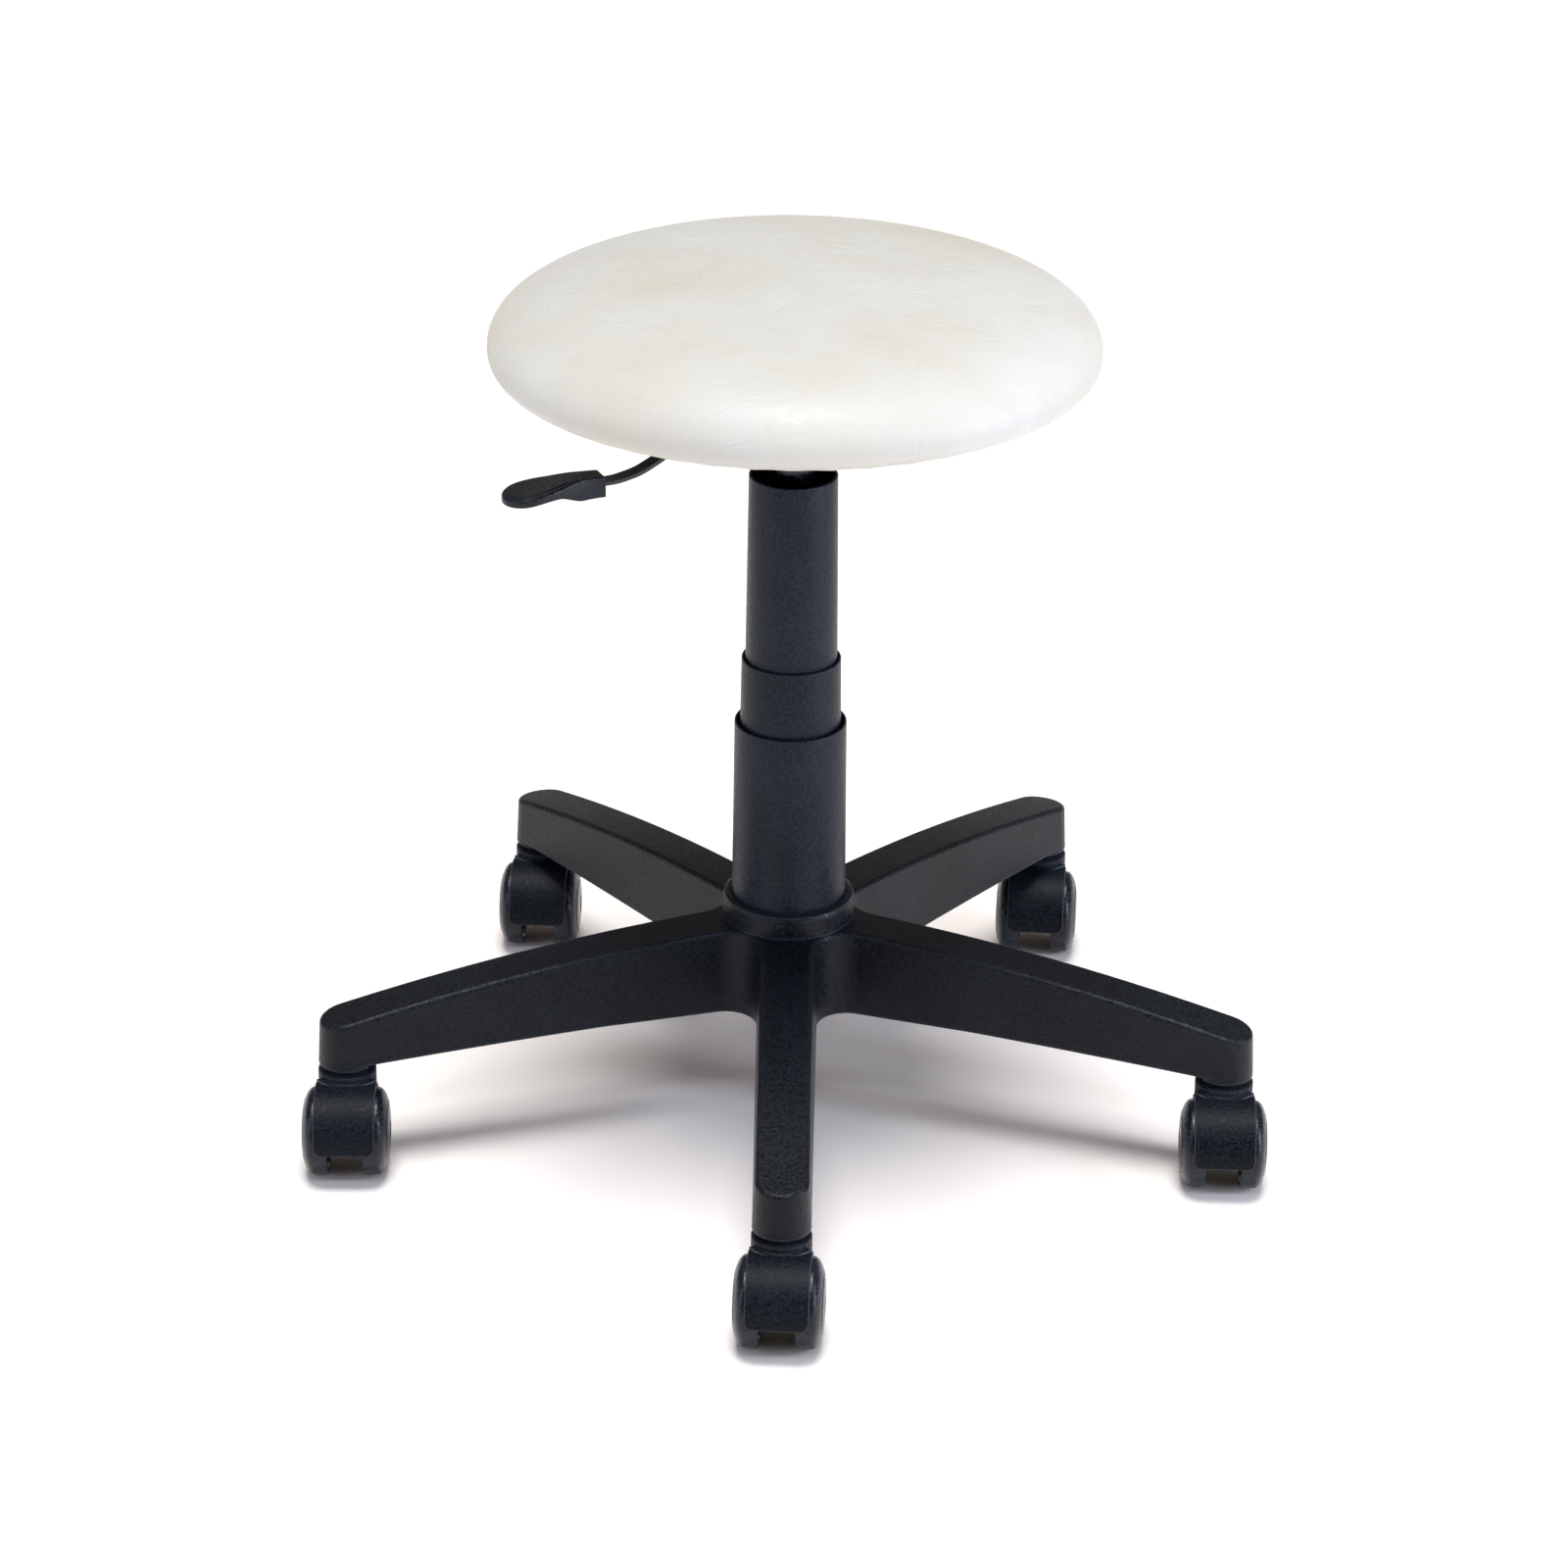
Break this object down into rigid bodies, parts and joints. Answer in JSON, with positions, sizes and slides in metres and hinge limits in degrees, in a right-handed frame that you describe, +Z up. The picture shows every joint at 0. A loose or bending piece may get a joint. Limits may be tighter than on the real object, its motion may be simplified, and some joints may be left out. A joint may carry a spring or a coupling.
{
  "type": "pedicure stool",
  "caption": "Round padded stool on a gas lift with telescoping column covers, side release lever, star base and twin-wheel casters.",
  "frame": {"origin": "on the floor under the column's axis, casters trailing towards -Y", "axes": "+Z up along the column, one arm of the base along -Y, +X to the sitter's right when that arm points at the viewer"},
  "size_m": [0.6037, 0.593, 0.558],
  "materials": {
    "base_nylon": "fine-textured glass-filled nylon",
    "sleeve_plastic": "fine-textured polypropylene",
    "tube_steel": "black powder-coated steel",
    "bushing_plastic": "natural acetal",
    "bright_steel": "ground steel",
    "piston_metal": "machined aluminium",
    "seal_rubber": "nitrile rubber",
    "zinc_steel": "zinc-plated steel",
    "seat_vinyl": "ivory upholstery vinyl, satin",
    "seat_foam": "polyurethane foam",
    "seat_plywood": "plywood",
    "dust_cloth": "black non-woven",
    "lever_steel": "black oxide steel strip",
    "handle_plastic": "moulded polypropylene",
    "hood_nylon": "fine-textured nylon",
    "wheel_nylon": "smooth nylon"
  },
  "bodies": {
    "base": {"star_base": "base_nylon", "lower_sleeve": "sleeve_plastic", "column_tube": "tube_steel", "guide_bushing": "bushing_plastic", "tube_end_plate": "bright_steel", "bearing_race_lower": "bright_steel", "bearing_balls": "bright_steel", "bearing_cage": "bushing_plastic", "caster_stems": "bright_steel", "grip_rings": "bright_steel"},
    "rod": {"piston_rod": "bright_steel", "piston": "piston_metal", "piston_ring": "seal_rubber", "piston_nut": "bright_steel", "rod_clip": "bright_steel", "bearing_race_upper": "bright_steel", "rubber_bumper": "seal_rubber"},
    "seat": {"gas_cylinder": "tube_steel", "rod_guide": "bushing_plastic", "rod_seal": "seal_rubber", "valve_block": "bushing_plastic", "upper_sleeve": "sleeve_plastic", "sleeve_spider": "bushing_plastic", "seat_cover": "seat_vinyl", "seat_foam": "seat_foam", "seat_board": "seat_plywood", "dust_cover": "dust_cloth", "staples": "bright_steel", "seat_plate": "tube_steel", "lever_housing": "tube_steel", "taper_socket": "tube_steel", "pivot_pin": "bright_steel", "seat_bolts": "zinc_steel", "bolt_washers": "bright_steel", "t_nuts": "zinc_steel"},
    "middle_cover": {"middle_sleeve": "sleeve_plastic"},
    "lever": {"lever_strip": "lever_steel", "lever_handle": "handle_plastic"},
    "valve_pin": {"release_pin": "bright_steel"},
    "caster_1": {"caster_1_hood": "hood_nylon", "caster_1_axle": "bright_steel"},
    "caster_1_left": {"caster_1_wheel_left": "wheel_nylon"},
    "caster_1_right": {"caster_1_wheel_right": "wheel_nylon"},
    "caster_2": {"caster_2_hood": "hood_nylon", "caster_2_axle": "bright_steel"},
    "caster_2_left": {"caster_2_wheel_left": "wheel_nylon"},
    "caster_2_right": {"caster_2_wheel_right": "wheel_nylon"},
    "caster_3": {"caster_3_hood": "hood_nylon", "caster_3_axle": "bright_steel"},
    "caster_3_left": {"caster_3_wheel_left": "wheel_nylon"},
    "caster_3_right": {"caster_3_wheel_right": "wheel_nylon"},
    "caster_4": {"caster_4_hood": "hood_nylon", "caster_4_axle": "bright_steel"},
    "caster_4_left": {"caster_4_wheel_left": "wheel_nylon"},
    "caster_4_right": {"caster_4_wheel_right": "wheel_nylon"},
    "caster_5": {"caster_5_hood": "hood_nylon", "caster_5_axle": "bright_steel"},
    "caster_5_left": {"caster_5_wheel_left": "wheel_nylon"},
    "caster_5_right": {"caster_5_wheel_right": "wheel_nylon"}
  },
  "joints": [
    {"name": "seat_swivel", "type": "hinge", "parent": "base", "child": "rod", "pos_m": [0, 0, 0.087], "axis": [0, 0, 1], "continuous": true},
    {"name": "seat_lift", "type": "slide", "parent": "rod", "child": "seat", "axis": [0, 0, 1], "range_m": [-0.12, 0]},
    {"name": "middle_cover_slide", "type": "slide", "parent": "base", "child": "middle_cover", "axis": [0, 0, 1], "range_m": [-0.0413, 0.0005]},
    {"name": "release_lever", "type": "hinge", "parent": "seat", "child": "lever", "pos_m": [-0.02184, -0.00995, 0.4755], "axis": [-0.4147, 0.91, 0], "range_deg": [0, 7], "stiffness_Nm_per_rad": 4, "springref_deg": -3.44},
    {"name": "valve_pin_slide", "type": "slide", "parent": "seat", "child": "valve_pin", "axis": [0, 0, -1], "range_m": [0, 0.0035]},
    {"name": "caster_1_swivel", "type": "hinge", "parent": "base", "child": "caster_1", "pos_m": [0, -0.289, 0.06], "axis": [0, 0, 1], "continuous": true},
    {"name": "caster_1_left_spin", "type": "hinge", "parent": "caster_1", "child": "caster_1_left", "pos_m": [-0.00092, -0.30998, 0.0275], "axis": [0.999, -0.0436, 0], "continuous": true},
    {"name": "caster_1_right_spin", "type": "hinge", "parent": "caster_1", "child": "caster_1_right", "pos_m": [-0.00092, -0.30998, 0.0275], "axis": [0.999, -0.0436, 0], "continuous": true},
    {"name": "caster_2_swivel", "type": "hinge", "parent": "base", "child": "caster_2", "pos_m": [-0.27486, -0.08931, 0.06], "axis": [0, 0, 1], "continuous": true},
    {"name": "caster_2_left_spin", "type": "hinge", "parent": "caster_2", "child": "caster_2_left", "pos_m": [-0.27438, -0.1103, 0.0275], "axis": [0.9997, 0.0227, 0], "continuous": true},
    {"name": "caster_2_right_spin", "type": "hinge", "parent": "caster_2", "child": "caster_2_right", "pos_m": [-0.27438, -0.1103, 0.0275], "axis": [0.9997, 0.0227, 0], "continuous": true},
    {"name": "caster_3_swivel", "type": "hinge", "parent": "base", "child": "caster_3", "pos_m": [-0.16987, 0.23381, 0.06], "axis": [0, 0, 1], "continuous": true},
    {"name": "caster_3_left_spin", "type": "hinge", "parent": "caster_3", "child": "caster_3_left", "pos_m": [-0.17068, 0.21282, 0.0275], "axis": [0.9993, -0.0384, 0], "continuous": true},
    {"name": "caster_3_right_spin", "type": "hinge", "parent": "caster_3", "child": "caster_3_right", "pos_m": [-0.17068, 0.21282, 0.0275], "axis": [0.9993, -0.0384, 0], "continuous": true},
    {"name": "caster_4_swivel", "type": "hinge", "parent": "base", "child": "caster_4", "pos_m": [0.16987, 0.23381, 0.06], "axis": [0, 0, 1], "continuous": true},
    {"name": "caster_4_left_spin", "type": "hinge", "parent": "caster_4", "child": "caster_4_left", "pos_m": [0.1684, 0.21286, 0.0275], "axis": [0.9976, -0.0698, 0], "continuous": true},
    {"name": "caster_4_right_spin", "type": "hinge", "parent": "caster_4", "child": "caster_4_right", "pos_m": [0.1684, 0.21286, 0.0275], "axis": [0.9976, -0.0698, 0], "continuous": true},
    {"name": "caster_5_swivel", "type": "hinge", "parent": "base", "child": "caster_5", "pos_m": [0.27486, -0.08931, 0.06], "axis": [0, 0, 1], "continuous": true},
    {"name": "caster_5_left_spin", "type": "hinge", "parent": "caster_5", "child": "caster_5_left", "pos_m": [0.27423, -0.1103, 0.0275], "axis": [0.9996, -0.0297, 0], "continuous": true},
    {"name": "caster_5_right_spin", "type": "hinge", "parent": "caster_5", "child": "caster_5_right", "pos_m": [0.27423, -0.1103, 0.0275], "axis": [0.9996, -0.0297, 0], "continuous": true}
  ],
  "couplings": [
    {"joint": "middle_cover_slide", "follows": "seat_lift", "ratio": 0.34},
    {"joint": "valve_pin_slide", "follows": "release_lever", "m_per_rad": 0.0262}
  ]
}
